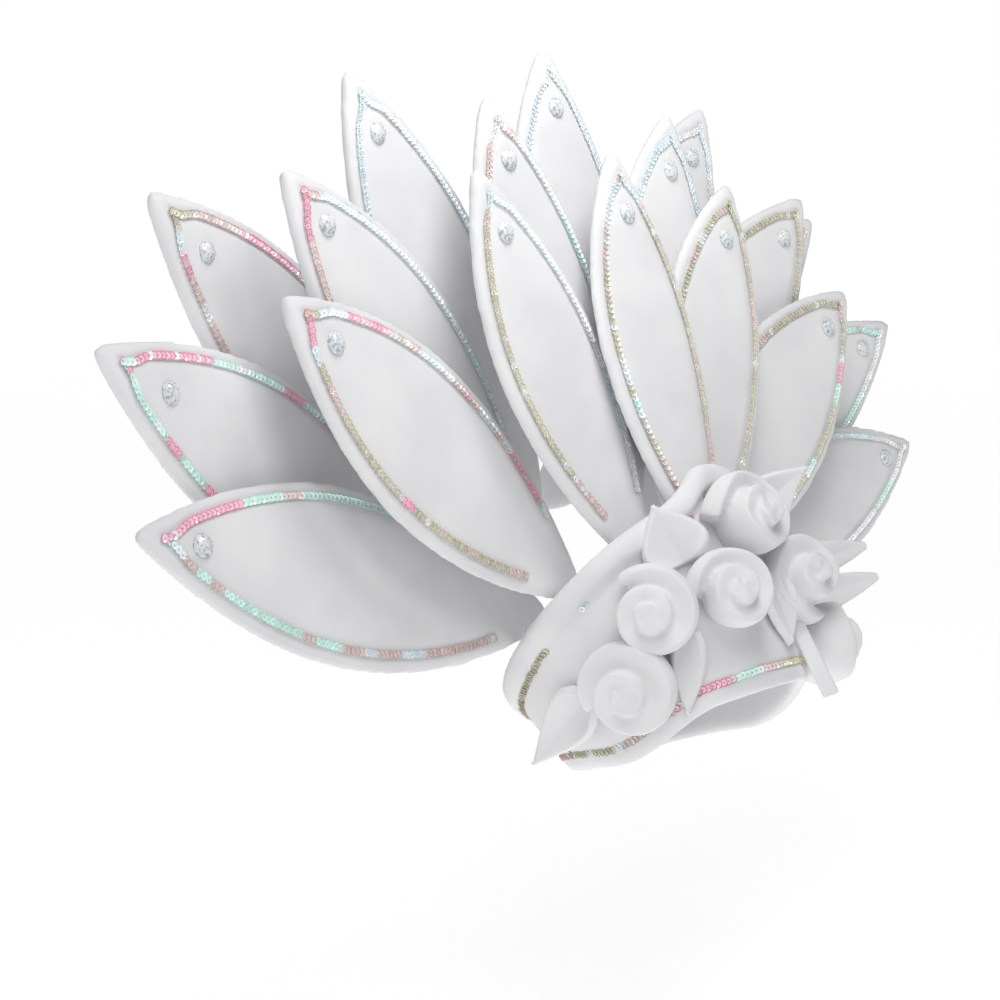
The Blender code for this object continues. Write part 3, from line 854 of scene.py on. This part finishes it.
# %% [markdown]
# ## Floor, light and camera
#
# The floor is a plain pale sheet well below the crown, lit a little from inside like a light table, so
# that it stays as pale as the paper behind. The light is one very large soft source: the world itself is
# bright towards the wearer's right, the front and above, and dark on the other side. The camera sees the
# world as plain white paper. A small lamp above adds the light that fades towards the band. The camera
# stands where the photographer stood: in front of the crown, to the wearer's right, and slightly above.

# %% Set the studio
FLOOR_Z = -0.32
FLOOR_GLOW = 0.66
PAPER_WHITE = 1.0
SOURCE_STRENGTH = 0.56
SOURCE_DIRECTION = (-0.70, -0.26, 0.66)
SHADE_SIDE = 0.0

bpy.ops.object.select_all(action="DESELECT")
bpy.ops.mesh.primitive_plane_add(size=30.0, location=(0.0, 0.0, FLOOR_Z))
floor = bpy.context.object
floor.name = "floor"
floor_paint, tree, shader = new_material("pale_floor")
shader.inputs["Base Color"].default_value = linear("#FAFAFA")
shader.inputs["Roughness"].default_value = 0.9
shader.inputs["Emission Color"].default_value = linear("#FFFFFF")
shader.inputs["Emission Strength"].default_value = FLOOR_GLOW
floor.data.materials.append(floor_paint)

world = bpy.data.worlds.new("pale_studio")
bpy.context.scene.world = world
world.use_nodes = True
tree = world.node_tree
paper = tree.nodes["Background"]
paper.inputs["Color"].default_value = linear("#FFFFFF")
place = add_node(tree, "ShaderNodeTexCoord")
towards = add_node(
    tree, "ShaderNodeVectorMath", {"operation": "DOT_PRODUCT"}, [(place.outputs["Generated"], 0)]
)
towards.inputs[1].default_value = Vector(SOURCE_DIRECTION).normalized()
source = add_node(
    tree,
    "ShaderNodeMapRange",
    {"interpolation_type": "SMOOTHSTEP", "From Min": 0.1, "From Max": 1.0, "To Min": SHADE_SIDE, "To Max": SOURCE_STRENGTH},
    [(towards.outputs["Value"], "Value")],
)
path = add_node(tree, "ShaderNodeLightPath")
seen = add_node(
    tree,
    "ShaderNodeMapRange",
    {"To Min": PAPER_WHITE},
    [(path.outputs["Is Diffuse Ray"], "Value"), (source.outputs["Result"], "To Max")],
)
tree.links.new(seen.outputs["Result"], paper.inputs["Strength"])

AIM = Vector((0.0, 0.2063, 0.1598))


def hang_lamp(name, place, size, power):
    lamp = bpy.data.lights.new(name, "AREA")
    lamp.shape = "DISK"
    lamp.size = size
    lamp.energy = power
    holder = bpy.data.objects.new(name, lamp)
    bpy.context.scene.collection.objects.link(holder)
    holder.location = place
    holder.rotation_euler = (AIM - Vector(place)).to_track_quat("-Z", "Y").to_euler()


hang_lamp("key", (-0.50, -0.50, 0.95), 0.45, 2.2)
hang_lamp("top", (-0.12, -0.14, 0.92), 0.35, 2.4)

CAMERA_AZIMUTH = math.radians(-45.7)
CAMERA_ELEVATION = math.radians(7.0)
CAMERA_DISTANCE = 1.5185

camera = bpy.data.cameras.new("camera")
camera.sensor_width = 36.0
camera.lens = 64.8
holder = bpy.data.objects.new("camera", camera)
bpy.context.scene.collection.objects.link(holder)
back = Vector(
    (
        math.sin(CAMERA_AZIMUTH) * math.cos(CAMERA_ELEVATION),
        -math.cos(CAMERA_AZIMUTH) * math.cos(CAMERA_ELEVATION),
        math.sin(CAMERA_ELEVATION),
    )
)
holder.location = AIM + back * CAMERA_DISTANCE
holder.rotation_euler = (-back).to_track_quat("-Z", "Y").to_euler()
bpy.context.scene.camera = holder
bpy.context.scene.view_settings.view_transform = "Standard"
